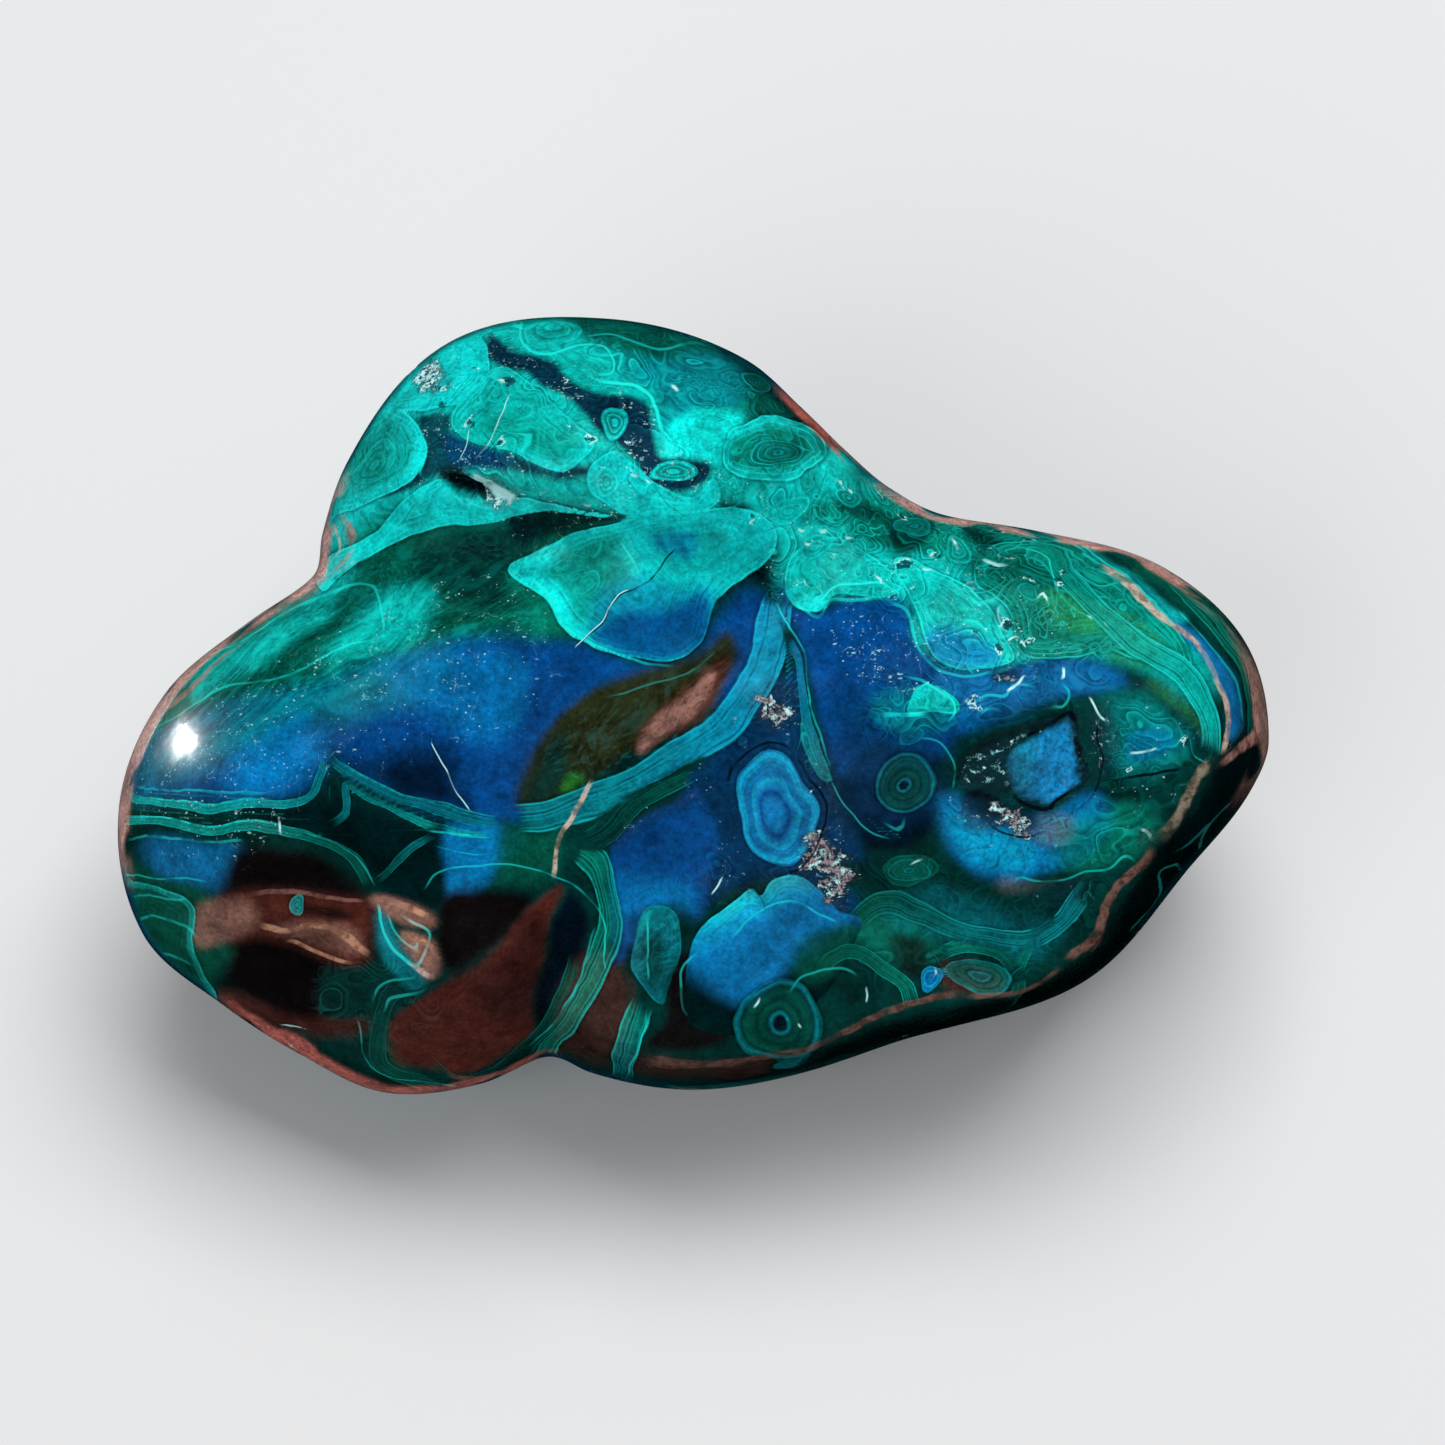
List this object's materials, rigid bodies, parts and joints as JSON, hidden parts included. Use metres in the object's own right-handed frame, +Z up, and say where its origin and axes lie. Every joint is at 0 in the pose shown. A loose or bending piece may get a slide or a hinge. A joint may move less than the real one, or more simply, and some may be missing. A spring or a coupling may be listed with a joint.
{
  "type": "malachite specimen",
  "caption": "Polished three-lobed freeform stone of malachite and chrysocolla that rests on a flat base.",
  "frame": {"origin": "on the flat base, under the middle of the stone's bounding box", "axes": "+Z up from the base, +X to the right along the stone's length, -Y towards the broad polished face, which leans back 30 degrees from straight up"},
  "size_m": [0.1102, 0.0704, 0.0582],
  "materials": {
    "polished_malachite": "polished"
  },
  "bodies": {
    "root": {"stone": "polished_malachite"}
  },
  "joints": []
}
